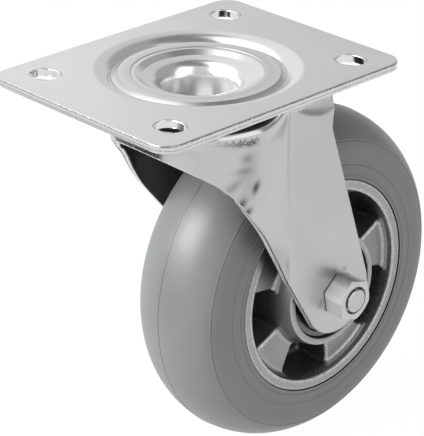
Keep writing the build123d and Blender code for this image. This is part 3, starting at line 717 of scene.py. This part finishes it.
def fork_wear(point):
    """Scored, dull and burnished shares of the outer face, worked out from its points.

    Scored: a speckled band of painted dark reflection in the neck, and the same on the middle of the
    front. Dull: painted shade of the marks, in the crease and round the lens, and the painted dark
    reflection on the front. Burnished: the bend into the head."""
    x, y, z = point[..., 0], point[..., 1], point[..., 2]
    # a speckled band of painted dark reflection in the neck, under the bend
    rise = 0.2 * np.maximum(NECK_DARK_REAR - 5 - y, 0)
    scored_and_dark_reflection = 0.95 * bell(z - rise, NECK_DARK_Z, NECK_DARK_HALF, 4)
    scored_and_dark_reflection = scored_and_dark_reflection * soft_step((NECK_DARK_REAR - y) / 3, 0.2) * soft_step((y - NECK_DARK_FRONT) / 12, 0.3)
    dull_and_shade = np.zeros_like(x)
    # the marks' painted shade, which marks of negative share take away again
    for cloud, _, share in marks_at(y, z):
        dull_and_shade = dull_and_shade + share * cloud
    # painted shade along the crease, round the lens and a little on the leg behind the crease
    crease, over_lens = crease_at(z), z - lens_at(y)
    dull_and_shade = dull_and_shade + 0.28 * bell(y, crease - 0.6, 0.8) * soft_step((z + 70) / 35, 0.3)
    on_lens = 0.45 * bell(over_lens, 0.3, 0.8) + 0.12 * soft_step(over_lens / 1.5, 0.3)
    dull_and_shade = dull_and_shade + soft_step((y - LENS_FRONT) / 4, 0.3) * on_lens + 0.05 * soft_step((y - crease) / 3, 0.3)
    # painted dark reflection, speckled and dull, over the middle of the front
    dark_front = soft_step((DARK_FRONT_X - x) / 0.8, 0.2) * (y < DARK_FRONT_Y)
    dull_and_shade, scored_and_dark_reflection = np.maximum(np.clip(dull_and_shade, 0, 1), 0.5 * dark_front), np.maximum(scored_and_dark_reflection, 0.9 * dark_front)
    return scored_and_dark_reflection, dull_and_shade, bell(z, HEAD_TOP - HEAD_BEND, 3) * (x > DARK_FRONT_X)


def unit(v):
    return v / np.linalg.norm(v, axis=-1, keepdims=True)


def fork_face(w, z):
    """Point, outward normal and the two unit tangents (round and up) of the fork's outer face."""
    step = 0.05
    round_ = unit(fork_form(w + step, z) - fork_form(w - step, z))
    up = unit(fork_form(w, z + step) - fork_form(w, z - step))
    plain_normal = unit(np.cross(round_, up))

    def raised(u, v):
        p = fork_form(u, v)
        return p + plain_normal * fork_relief(p)[..., None]

    point = raised(w, z)
    round_ = unit(raised(w + step, z) - raised(w - step, z))
    up = unit(raised(w, z + step) - raised(w, z - step))
    return point, unit(np.cross(round_, up)), round_, up


def way_round(y, z):
    """How far round from the front the fork's face reaches y at height z, by halving."""
    low, high = np.zeros_like(y), np.full_like(y, FRONT_RUN + 110)
    for _ in range(30):
        middle = (low + high) / 2
        short = fork_form(middle, z)[..., 1] < y
        low, high = np.where(short, middle, low), np.where(short, high, middle)
    return (low + high) / 2


def along(start, angle, distance):
    """The point at a distance from start; the angle in degrees is measured from +Y towards +Z."""
    return np.array([start[0] + distance * cos(radians(angle)), start[1] + distance * sin(radians(angle))])


def crossing(a, angle_a, b, angle_b):
    """Where the line through a meets the line through b, each with its angle from +Y."""
    (ca, sa), (cb, sb) = ((cos(radians(angle)), sin(radians(angle))) for angle in (angle_a, angle_b))
    run = ((b[0] - a[0]) * sb - (b[1] - a[1]) * cb) / (ca * sb - sa * cb)
    return np.array([a[0] + run * ca, a[1] + run * sa])


def fork_outline():
    """Side view of the fork as (y, z): apron, shoulder, front edge, tip, back edge and notch."""
    axle = (AXLE_Y, AXLE_Z)
    front_angle, back_angle = 90 + FRONT_SLANT, 90 + BACK_SLANT
    front_touch = along(axle, front_angle + 90, FRONT_AWAY)
    back_touch = along(axle, back_angle - 90, BACK_AWAY)
    tip = crossing(front_touch, front_angle, back_touch, back_angle)
    apron_end = along(APRON_CORNER, 180 - APRON_SLANT, HEAD_RADIUS)
    notch = crossing(back_touch, back_angle, (0, NOTCH_Z), 0)
    corners = [apron_end, APRON_CORNER, SHOULDER, tip, notch, (HEAD_REAR, HEAD_TOP + 4)]
    return rounded(corners, [0, APRON_ROUND, SHOULDER_CURVE, TIP_RADIUS, NOTCH_ROUND, 0], steps=40)


def make_fork():
    """One pressed sheet: walls, bend and head, each with an inner face, and the cut edge all round.

    Half of it is made and mirrored. The side outline is carried on to the face, and a grid lies
    between its front and its back."""
    edge_round, rim = 0.45, 0.65  # rounding of the cut edge; width of its strip on the face
    bend_foot = HEAD_TOP - HEAD_BEND
    dense = resampled(fork_outline(), 4000)
    dense = dense[dense[:, 0] > -HEAD_RADIUS - 3]
    reach = fork_form(np.zeros(len(dense)), dense[:, 1])[:, 1]
    dense = dense[(dense[:, 0] > reach) & (dense[:, 1] < bend_foot + 3)]
    wz = np.column_stack([way_round(dense[:, 0], dense[:, 1]), dense[:, 1]])
    wz = resampled(np.vstack([[0, wz[0, 1]], wz]), 3000)
    tangent = unit(np.gradient(wz, axis=0))
    tangent[:3] = (1, 0)
    out = np.column_stack([tangent[:, 1], -tangent[:, 0]])  # away from the sheet
    inset = wz - out * rim
    lowest = int(np.argmin(inset[:, 1]))
    stop = lowest + int(np.argmax(inset[lowest:, 1] >= bend_foot))
    front, back = inset[:lowest + 1], inset[lowest:stop + 1]
    back[-1, 1] = bend_foot
    front[0, 0] = 0.0

    first, rest, columns = 7, 140, 116
    front_all = resampled(np.column_stack([front, out[:lowest + 1]]), rest)
    head_side = np.column_stack([np.zeros(first), np.linspace(bend_foot, front[0, 1], first)])
    left_line, front_out = np.vstack([head_side, front_all[1:, :2]]), front_all[:, 2:]
    back_all = resampled(np.column_stack([back, out[lowest:stop + 1]])[::-1], len(left_line))
    right_line, back_out = back_all[:, :2], back_all[:, 2:]
    s = np.linspace(0, 1, columns)[None, :, None]
    grid = left_line[:, None] * (1 - s) + right_line[:, None] * s
    point, normal, round_, up = fork_face(grid[..., 0], grid[..., 1])

    # bend from the wall into the head's flat top
    phi = np.linspace(0, pi / 2, 9)[:, None, None]
    rise = np.array([0, 0, 1.0])
    foot, level = point[0], unit(normal[0] * [1, 1, 0])
    bend_point = foot - level * HEAD_BEND * (1 - np.cos(phi)) + rise * HEAD_BEND * np.sin(phi)
    bend_normal = level * np.cos(phi) + rise * np.sin(phi)

    # flat head: from the hole to the bend, then to the rear edge with its scallop
    chord = LEG_OUTSIDE - SHEET - SCALLOP_CORNER
    scallop = (chord ** 2 + SCALLOP_DEPTH ** 2) / (2 * SCALLOP_DEPTH)
    corner_x, rear_y = bend_point[-1, -1, :2]
    rear_x = np.linspace(corner_x, 0, 60)
    arc_y = rear_y - SCALLOP_DEPTH + scallop - np.sqrt(np.maximum(scallop ** 2 - rear_x ** 2, 0))
    rear_line = np.column_stack([rear_x, np.minimum(arc_y, rear_y), np.full(60, HEAD_TOP)])
    rear_out = unit(np.gradient(rear_line, axis=0)[:, [1, 0, 2]] * [1, -1, 0])
    rear_out[-1] = (0, 1, 0)
    edge_line = np.vstack([bend_point[-1], rear_line[1:]])
    heading = np.arctan2(edge_line[:, 1], edge_line[:, 0])
    heading[0], heading[-1] = -pi / 2, pi / 2
    hole = np.column_stack([HEAD_HOLE * np.cos(heading), HEAD_HOLE * np.sin(heading), HEAD_TOP + 0 * heading])
    share = np.linspace(0, 1, 16)[:, None, None]
    disc = edge_line * (1 - share) + hole * share
    disc_normal = np.broadcast_to(rise, disc.shape)

    # outer and inner wall, bend and disc, then the wall of the hole
    faces = [(p + n * shift, False, False) for shift in (0, -SHEET)
             for p, n in ((point, normal), (bend_point, bend_normal), (disc, disc_normal))]
    faces.append((hole[None] + rise * np.linspace(0, -SHEET, 5)[:, None, None], False, False))
    scored_and_dark_reflection, dull_and_shade, burnished = fork_wear(point)
    # painted dark reflection of the plate's underside on the head's top, and painted shade on the inner faces
    dull_and_shade = [dull_and_shade, 0.0, 1.0, 0.85, 0.85, 0.85, 0.0]
    scored_and_dark_reflection = [scored_and_dark_reflection] + [0.0] * 6
    burnished = [burnished, 1.0] + [0.0] * 6

    # the cut edge: from the apron's middle round the leg to the middle of the scallop
    count = first - 1
    base = np.vstack([point[count:, 0], point[:-1, -1][::-1], bend_point[1:, -1], rear_line[1:]])
    normals = np.vstack([normal[count:, 0], normal[:-1, -1][::-1], bend_normal[1:, -1],
                         np.broadcast_to(rise, (len(rear_line) - 1, 3))])
    away_front = round_[count:, 0] * front_out[:, :1] + up[count:, 0] * front_out[:, 1:]
    away_back = (round_[:-1, -1] * back_out[:-1, :1] + up[:-1, -1] * back_out[:-1, 1:])[::-1]
    away = np.vstack([away_front, away_back, np.broadcast_to([0, 1.0, 0], (len(bend_point) - 1, 3)),
                      rear_out[1:]])
    away = unit(away - normals * (away * normals).sum(axis=1, keepdims=True))
    extra_rows = [(rim, drop) for drop in (-0.9, -1.2, -2.7, -2.95)]
    cut = rounded([(0, 0), (rim, 0), *extra_rows, (rim, -SHEET), (0, -SHEET)],
                  [0, edge_round, 0, 0, 0, 0, 0.3, 0], steps=5, hold=0.08)
    strip = base[None] + away[None] * cut[:, 0, None, None] + normals[None] * cut[:, 1, None, None]
    faces.append((strip, False, False))
    # two dark lines bound the torn part of the edge
    lines = np.maximum(bell(cut[:, 1], -0.55, 0.4, 4), bell(cut[:, 1], -3.3, 0.35, 4))
    dull_and_shade.append(np.repeat(0.9 * lines, len(base)))
    scored_and_dark_reflection.append(np.repeat(0.35 * (1 - lines), len(base)))
    sheared = [0.0] * 7 + [np.repeat(1 - lines, len(base))]
    faces += [(face * [-1, 1, 1], False, False) for face, _, _ in faces]
    paint = {"dull_and_shade": dull_and_shade, "scored_and_dark_reflection": scored_and_dark_reflection, "burnished": burnished, "sheared": sheared}
    piece("pressed_fork", faces, "fork", zinc_fork, "zinc_fork", ["fork"], 40,
                 paint={layer: values * 2 for layer, values in paint.items()})


# ---- bolt and nut
def hexagon(outer, length, hole):
    """Hexagon about X from 0 to length: rows of (x, radius) at each angle.

    The side's radius is half the width across flats over cos of the angle from the flat's middle;
    at the free end a cone cuts the corners. A hole has a narrow countersink. The face is duller than
    the sides. Painted shade darkens the sides that face up, less so those that face down, and the foot
    against the leg and the countersink."""
    flat = ACROSS_FLATS / 2
    ring, cone = flat * FACE_RING, tan(radians(CONE_ANGLE))
    a = np.linspace(0, 2 * pi, 6 * 32, endpoint=False)
    off = (a + pi / 6) % (pi / 3) - pi / 6
    side = np.minimum(flat / np.cos(off), flat / cos(pi / 6) - 0.12)
    drop = (side - ring) * cone
    rows = [(0, hole), (0, (hole + ring) / 2), (0, ring), (0.15, side), (0.3, side), (0.5, side)]
    rows += [(0.5 + (length - drop - 0.5) * t, side) for t in np.linspace(0.05, 0.99, 10)]
    rows += [(length - drop * t, ring + (side - ring) * t) for t in (1.0, 0.66, 0.33, 0.0)]
    rows += [(length, ring - 0.15)]
    if hole:
        rows += [(length, hole + 0.7), (length, hole + 0.55), (length, hole + 0.35), (length - 0.5, hole)]
    else:
        rows += [(length, 0.5 * ring), (length, 0)]
    x, r = (np.array([row[k] + 0 * a for row in rows]) for k in (0, 1))
    turn = a + radians(HEX_PHASE)
    on_face = x > length - 0.05
    grid = about_axle(outer * x, r, turn)
    # painted shade on the sides that face up and down, at the foot and round the hole
    upper_side = 0.7 * np.clip(np.sin(turn) * 5 - 4, 0, 1) * np.ones_like(x)
    lower_side = 0.22 * (np.sin(turn) < 0.08)
    sides = np.where(x < 0.4, 0.9, upper_side + lower_side)
    dull_and_shade = np.where(on_face, 0.22, np.where(x > length - drop, 0.3, sides))
    dull_and_shade = np.where((r < hole + 0.6) & (hole > 0), 0.8, dull_and_shade)
    return grid, dull_and_shade, np.where(on_face, 0.0, 0.6)


def make_nut():
    """Hexagon nut on the +X leg, countersunk where the bolt comes out."""
    grid, dull_and_shade, sheared = hexagon(1, NUT_HEIGHT, THREAD_RADIUS + 0.05)
    grid[..., 0] += LEG_OUTSIDE
    piece("axle_nut_hexagon", [(grid, True, True)], "fork", zinc_fastener, "zinc_fastener",
                 ["axle_nut"], 28, paint={"dull_and_shade": [dull_and_shade], "sheared": [sheared]})


def make_bolt():
    """Bolt: hexagon head on the -X leg, and a shank whose free end is threaded and has a short tip.

    Thread: radius - depth * triangle wave of (length / pitch - angle / one turn)."""
    head, dull_and_shade, sheared = hexagon(-1, BOLT_HEAD, 0.0)
    head[..., 0] -= LEG_OUTSIDE
    nut_face = LEG_OUTSIDE + NUT_HEIGHT
    tip, depth = nut_face + BOLT_PROUD, THREAD_RADIUS - THREAD_ROOT
    a = np.linspace(0, 2 * pi, 97)[:-1]
    thread = np.arange(LEG_OUTSIDE + 5, nut_face - 1.4, THREAD_PITCH / 12)
    x = np.concatenate([[-LEG_OUTSIDE + 0.2, 25.0], thread])[:, None]
    phase = (x / THREAD_PITCH - a / (2 * pi)) % 1
    groove = depth * np.clip(1 - np.abs(phase - 0.5) * 2.6, 0, 1)
    r = THREAD_RADIUS - groove * (x > LEG_OUTSIDE + 5.5)
    end = rounded([(nut_face - 1.3, THREAD_ROOT), (nut_face - 0.4, THREAD_ROOT),
                   (nut_face - 0.1, THREAD_ROOT + 0.35), (tip - 0.35, THREAD_ROOT + 0.35),
                   (tip, THREAD_ROOT - 0.25), (tip, 0)], [0, 0.1, 0.1, 0.15, 0.15, 0], steps=4, hold=0.04)
    x = np.vstack([x[:1] + 0 * a, x + 0 * a, end[:, :1] + 0 * a])
    r = np.vstack([0 * r[:1], r, end[:, 1:] + 0 * a])
    surfaces = [(head, False, True), (about_axle(x, r, a), False, True)]
    piece("axle_bolt_threaded", surfaces, "fork", zinc_fastener, "zinc_fastener", ["axle_bolt"], 32,
                 paint={"dull_and_shade": [dull_and_shade, 0.3], "sheared": [sheared, 0.2]})


# ---- bearings
def make_bearing(side, name):
    """Rings with chamfered edges and two pressed shields with a raised bead, turned about the axle.

    Each profile is a closed line of (length, radius); the inboard shield is the outboard one mirrored
    about the bearing's middle plane."""
    inner, outer = BEARING_SHOULDER, BEARING_SHOULDER + BEARING_WIDTH
    outer_ring = rounded(
        [(inner, BEARING_OUTSIDE), (outer, BEARING_OUTSIDE), (outer, OUTER_LAND + 0.7),
         (outer - 0.6, OUTER_LAND), (inner + 0.6, OUTER_LAND), (inner, OUTER_LAND + 0.7)],
        [0.7, 0.7, 0.2, 0.1, 0.1, 0.2], closed=True, steps=5, hold=0.05)
    inner_ring = rounded(
        [(inner, INNER_LAND), (outer, INNER_LAND), (outer, BEARING_BORE), (inner, BEARING_BORE)],
        [0.3, 0.3, 0.6, 0.6], closed=True, steps=5, hold=0.05)
    shield = [outer, 0] + rounded(
        [(-0.6, 20.05), (-0.6, 19.3), (-1.1, 18.7), (-1.1, 15.9), (-0.6, 15.2), (-0.6, 14.0),
         (-1.0, 14.0), (-1.0, 15.0), (-1.5, 15.7), (-1.5, 18.9), (-1.0, 19.5), (-1.0, 20.05)],
        [0.1, 0.3, 0.3, 0.3, 0.3, 0.1] * 2, closed=True, steps=4, hold=0.03)
    inboard = [inner + outer, 0] + shield * [-1, 1]
    for kind, profiles, material, slot in (("outer", [outer_ring], ground_steel, "ground_steel"),
                                           ("inner", [inner_ring], ground_steel, "ground_steel"),
                                           ("shields", [shield, inboard], shield_steel, "shield_steel")):
        surfaces = [(turned_x(line * [side, 1], 128), True, True) for line in profiles]
        member = "bearing_" + kind + "_" + name
        piece("turned_" + member, surfaces, owner_of[member], material, slot, [member])


# ---- everything
make_plate()
make_tyre()
make_wheel_centre()
make_fork()
make_nut()
make_bolt()
make_bearing(1, "right")
make_bearing(-1, "left")
finish_of = {
    "zinc_race": zinc_fork, "plain_steel": drawn_steel, "ball_steel": ball_steel,
    "cage_plastic": polyamide, "black_seal": black_rubber,
}
slot_of = {part["node"]: part["material_slot"] for part in frame["record"]["subparts"]}
for member, body in owner_of.items():
    if member not in replaced:
        smoothed(member, body, finish_of[slot_of[member]], slot_of[member])


# ---- studio
CAMERA_AZIMUTH, CAMERA_ELEVATION, CAMERA_DISTANCE = 46.39, 25.57, 946.6
CAMERA_TARGET = (-9.64, 16.66, -80.0)

# What stands round the object, as seen from it: azimuth of the middle (right of the camera, in
# degrees), half width, lower and upper edge above the horizon, softness of the edges, brightness
SURROUND = (
    (-155, 27, -20, 58, 8, 0.98),  # wall behind on the left
    (-12, 34, 4, 64, 8, 0.72),  # front wall
    (122, 44, 2, 76, 7, 0.44),  # wall on the right
    (168, 14, 2, 60, 8, 0.72),  # wall behind on the right
    (60, 125, 62, 91, 5, 0.27),  # ceiling
    (-170, 24, 64, 91, 5, 0.42),  # ceiling behind
    (-88, 43, 6, 80, 4, 1.75),  # softbox on the left
    (48, 27, 3, 57, 5, 1.50),  # softbox on the right
)
FLOOR_WHITE = 0.98  # share of the floor that shows plain white; the rest takes the shadow
LAMP_AZIMUTH, LAMP_ELEVATION = -62, 32  # right of the camera and above the horizon, in degrees
LAMP_DISTANCE, LAMP_SIZE, LAMP_POWER = 1.3, 0.8, 24.0  # metres and watts
FLOOR_HALF, FLOOR_Z = 6000.0, AXLE_Z - WHEEL_RADIUS
FLAG_X, FLAG_Y, FLAG_Z = (-115.0, 6.0), -110.0, (-140.0, -46.0)
LENS, SENSOR = 174.1, 36.0


def patch(tree, direction, height, before, azimuth, half, low, high, soft, level):
    """Lays one soft-edged rectangle of the surround over the colour so far; angles in degrees."""
    middle = radians(CAMERA_AZIMUTH + azimuth)
    ahead, aside = (
        node(tree, "VectorMath", {0: direction, 1: (*axis, 0)}, operation="DOT_PRODUCT")
        for axis in ((sin(middle), -cos(middle)), (cos(middle), sin(middle))))
    turn = node(tree, "Math", {0: aside, 1: ahead}, operation="ARCTAN2")
    away = node(tree, "Math", {0: turn}, operation="ABSOLUTE")
    cover = 1.0
    for value, edge, inwards in ((away, half, -1), (height, low, 1), (height, high, -1)):
        start, stop = (radians(edge + way * inwards * soft / 2) for way in (-1, 1))
        ramp = node(tree, "MapRange", {"Value": value, "From Min": start, "From Max": stop},
                    interpolation_type="SMOOTHSTEP")
        cover = node(tree, "Math", {0: cover, 1: ramp}, operation="MULTIPLY")
    return node(tree, "Mix", {"Factor": cover, "A": before, "B": level}, data_type="FLOAT")


def seen_directly(tree):
    """1 for rays that show the background: from the camera, off metal and through glass."""
    seen = node(tree, "LightPath", take="Is Camera Ray")
    path = seen.node
    for ray in ("Is Glossy Ray", "Is Transmission Ray"):
        seen = node(tree, "Math", {0: seen, 1: path.outputs[ray]}, operation="MAXIMUM")
    return seen


def towards(azimuth, elevation):
    """Direction from the object: azimuth from -Y towards +X, elevation above the horizon, in degrees."""
    a, e = radians(azimuth), radians(elevation)
    return Vector((sin(a) * cos(e), -cos(a) * cos(e), sin(e)))


def flat_card(name, corners, material):
    """A card of the studio, which is no part of the object."""
    mesh = bpy.data.meshes.new(name)
    mesh.from_pydata([[c * MM for c in corner] for corner in corners], [], [(0, 1, 2, 3)])
    mesh.materials.append(material)
    card = bpy.data.objects.new(name, mesh)
    bpy.context.scene.collection.objects.link(card)
    return card


def make_studio():
    """White backdrop and floor, and a surround of two softboxes, grey walls, dark ceiling and black flag."""
    scene = bpy.context.scene
    scene.view_settings.view_transform = "Standard"
    scene.world = bpy.data.worlds.new("studio")
    scene.world.use_nodes = True
    tree = scene.world.node_tree
    direction = node(tree, "TexCoord", take="Generated")
    up = node(tree, "SeparateXYZ", {"Vector": direction}, "Z")
    height = node(tree, "Math", {0: up}, operation="ARCSINE")
    level = 1.0
    for shape in SURROUND:
        level = patch(tree, direction, height, level, *shape)
    seen = node(tree, "LightPath", take="Is Camera Ray")
    shown = node(tree, "Mix", {"Factor": seen, "A": level, "B": 1.0}, data_type="FLOAT")
    feed(tree, tree.nodes["Background"], {"Strength": shown, "Color": (1.0, 1.0, 1.0, 1.0)})

    material, tree, shader = new_material("white_floor", Roughness=0.9, Base_Color=srgb("#F2F2F2"))
    white = node(tree, "Emission", {"Strength": 1.0})
    share = node(tree, "Math", {0: seen_directly(tree), 1: FLOOR_WHITE}, operation="MULTIPLY")
    both = node(tree, "MixShader", {0: share, 1: shader.outputs["BSDF"], 2: white})
    feed(tree, tree.nodes["Material Output"], {"Surface": both})
    turns = ((-1, -1), (1, -1), (1, 1), (-1, 1))
    flat_card("floor", [(x * FLOOR_HALF, y * FLOOR_HALF, FLOOR_Z) for x, y in turns], material)

    # the flag stands low in front of the apron, and only reflections show it
    felt = new_material("black_felt", Roughness=1.0, Base_Color=(0.004, 0.004, 0.004, 1.0),
                        Specular_IOR_Level=0.0)[0]
    corners = [(FLAG_X[right > 0], FLAG_Y, FLAG_Z[upper > 0]) for right, upper in turns]
    flag = flat_card("flag", corners, felt)
    flag.visible_camera = flag.visible_diffuse = flag.visible_shadow = False

    # a large softbox in front and to the left gives the rubber its broad light
    away = towards(CAMERA_AZIMUTH + LAMP_AZIMUTH, LAMP_ELEVATION)
    data = bpy.data.lights.new("softbox", "AREA")
    data.size, data.energy = LAMP_SIZE, LAMP_POWER
    lamp = bpy.data.objects.new("softbox", data)
    scene.collection.objects.link(lamp)
    lamp.location = Vector((0, AXLE_Y, AXLE_Z)) * MM + away * LAMP_DISTANCE
    lamp.rotation_euler = away.to_track_quat("Z", "Y").to_euler()


def make_camera():
    """Camera at the viewing angle: a long lens, looking down at the plate from the nut's side."""
    back = towards(CAMERA_AZIMUTH, CAMERA_ELEVATION)
    data = bpy.data.cameras.new("camera")
    data.lens, data.sensor_width = LENS, SENSOR
    data.clip_start, data.clip_end = 0.05, 50.0
    camera = bpy.data.objects.new("camera", data)
    bpy.context.scene.collection.objects.link(camera)
    camera.location = (Vector(CAMERA_TARGET) + back * CAMERA_DISTANCE) * MM
    camera.rotation_euler = (-back).to_track_quat("-Z", "Y").to_euler()
    bpy.context.scene.camera = camera


make_studio()
make_camera()
